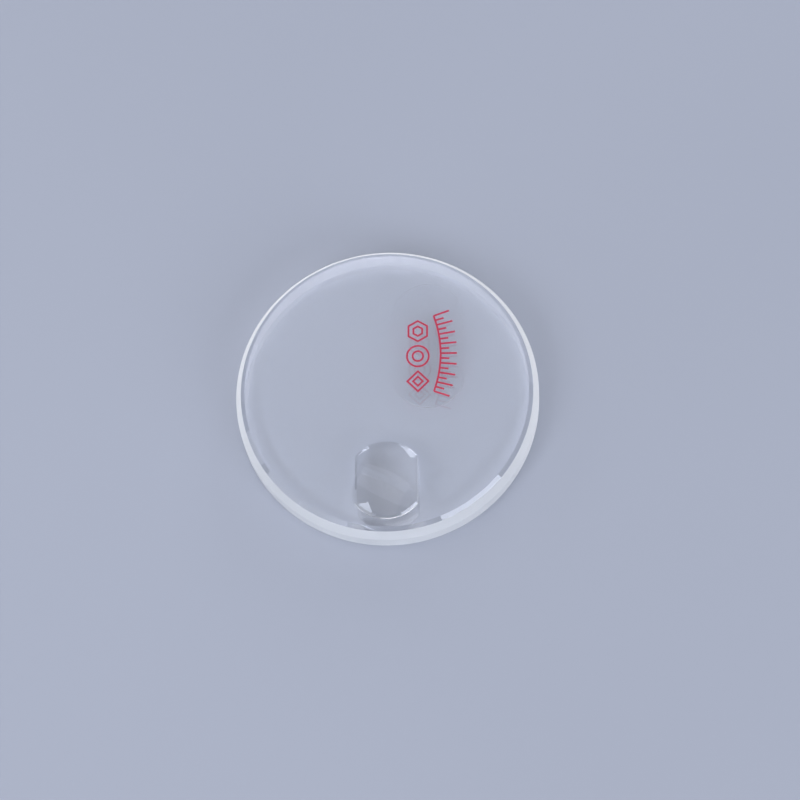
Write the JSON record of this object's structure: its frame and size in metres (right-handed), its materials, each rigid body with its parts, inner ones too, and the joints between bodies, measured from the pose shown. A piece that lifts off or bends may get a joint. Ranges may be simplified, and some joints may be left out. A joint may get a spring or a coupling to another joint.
{
  "type": "watch crystal",
  "caption": "Flat round sapphire watch crystal with a polished bevel, a ground edge, a cemented date magnifier and a clear peel-off label.",
  "frame": {"origin": "centre of the inner face, which seats in the watch case", "axes": "+Z out of the watch through the outer face, +X to three o'clock where the magnifier sits, +Y to twelve o'clock"},
  "size_m": [0.0212, 0.0212, 0.0035],
  "materials": {
    "sapphire": "polished faces and bevel, ground shoulder and wall",
    "clear_cement": "clear, cured between polished faces",
    "clear_adhesive": "clear, soft",
    "clear_film": "clear glossy film",
    "red_ink": "opaque screen print"
  },
  "bodies": {
    "root": {"crystal_disc": "sapphire", "magnifier_lens": "sapphire", "lens_cement": "clear_cement", "label_adhesive": "clear_adhesive", "label_film": "clear_film", "print_figures": "red_ink", "print_scale": "red_ink"}
  },
  "joints": []
}
